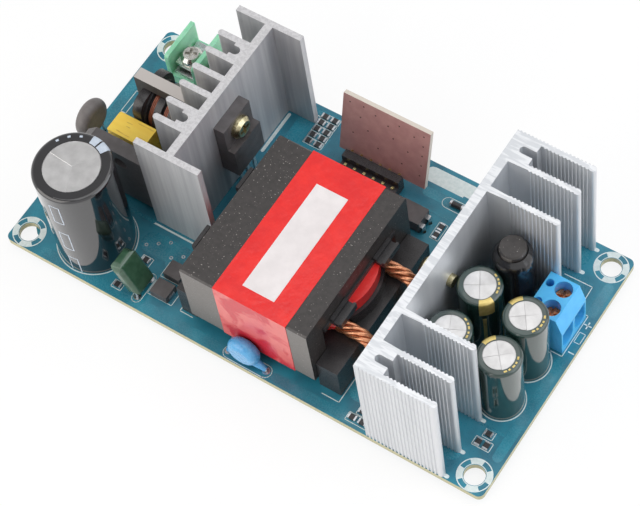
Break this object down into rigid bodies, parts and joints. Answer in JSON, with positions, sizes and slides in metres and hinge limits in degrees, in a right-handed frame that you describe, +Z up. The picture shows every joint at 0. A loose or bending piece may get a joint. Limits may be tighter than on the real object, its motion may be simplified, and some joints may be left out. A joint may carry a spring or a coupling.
{
  "type": "open frame power supply",
  "caption": "Open frame power supply board with two finned heatsinks, transformer, capacitors, and input and output screw terminals.",
  "frame": {"origin": "centre of the circuit board's underside, midway between the four corner holes", "axes": "+X along the long side towards the output terminal, +Y towards the back edge with the control board, +Z up from the board"},
  "size_m": [0.127, 0.066, 0.0366],
  "materials": {
    "board": "glass-epoxy laminate under a glossy teal solder mask",
    "solder": "bright fused solder",
    "tin": "tinned wire",
    "nickel": "nickel plated steel",
    "gold": "pale gold plated pins",
    "green_plastic": "slightly clear green moulded plastic",
    "yellow_plastic": "moulded yellow plastic box",
    "dark_coating": "dark dipped coating",
    "choke_ferrite": "ground grey-beige ferrite",
    "black_plastic": "black moulded phenolic",
    "copper": "enamelled copper wire",
    "epoxy": "black moulded epoxy",
    "can_aluminium": "bare drawn aluminium",
    "black_sleeve": "glossy black shrink sleeve with pale marks",
    "green_sleeve": "glossy dark green shrink sleeve with gold marks",
    "seal_rubber": "dark rubber seal",
    "green_coating": "glossy green dipped coating",
    "blue_coating": "glossy blue dipped coating",
    "primary_aluminium": "dull mill-finish extruded aluminium",
    "output_aluminium": "bright extruded aluminium, sawn ends",
    "brass_screw": "dull yellow passivated steel screw",
    "copper_screw": "coppery plated screw",
    "ferrite": "dark grey sintered ferrite with pale specks",
    "red_tape": "glossy red polyester tape",
    "label": "bare white paper label",
    "control_laminate": "bare laminate with a pinkish solder mask",
    "shrink_sleeve": "black heat-shrink sleeve",
    "blue_plastic": "glossy sky-blue moulded plastic",
    "chip_black": "dark ceramic chip bodies"
  },
  "bodies": {
    "root": {"circuit_board": "board", "solder_joints": "solder", "input_terminal_housing": "green_plastic", "input_terminal_contacts": "tin", "input_terminal_clamps": "nickel", "input_terminal_screws": "nickel", "box_capacitor": "yellow_plastic", "box_capacitor_leads": "tin", "thermistor": "dark_coating", "thermistor_leads": "tin", "choke_core": "choke_ferrite", "choke_bobbin": "black_plastic", "choke_windings": "copper", "choke_base": "black_plastic", "choke_pins_metal": "tin", "bridge_rectifier": "epoxy", "bridge_rectifier_leads": "tin", "bulk_capacitor_can": "can_aluminium", "bulk_capacitor_sleeve": "black_sleeve", "bulk_capacitor_leads": "tin", "film_capacitor": "green_coating", "film_capacitor_leads": "tin", "primary_heatsink": "primary_aluminium", "heatsink_pins": "tin", "primary_transistor": "epoxy", "primary_transistor_leads": "tin", "heatsink_screws": "brass_screw", "transformer_core_top": "ferrite", "transformer_core_bottom": "ferrite", "transformer_bobbin": "black_plastic", "transformer_coil": "copper", "transformer_coil_tape": "red_tape", "transformer_core_tape": "red_tape", "transformer_label": "label", "transformer_pins": "tin", "transformer_output_leads": "copper", "disc_capacitor": "blue_coating", "disc_capacitor_leads": "tin", "control_board": "control_laminate", "control_header": "black_plastic", "control_header_pins": "gold", "control_board_chips": "epoxy", "optocoupler": "epoxy", "optocoupler_legs": "tin", "output_heatsink": "output_aluminium", "output_rectifier": "epoxy", "output_rectifier_leads": "tin", "output_capacitor_cans": "can_aluminium", "output_capacitor_sleeves": "green_sleeve", "capacitor_seals": "seal_rubber", "output_capacitor_leads": "tin", "output_choke_rod": "ferrite", "output_choke_winding": "copper", "output_choke_sleeve": "shrink_sleeve", "output_terminal_housing": "blue_plastic", "output_terminal_screws": "copper_screw", "output_terminal_cages": "nickel", "chip_bodies": "chip_black", "chip_ends": "solder", "diode_blocks": "epoxy"}
  },
  "joints": []
}
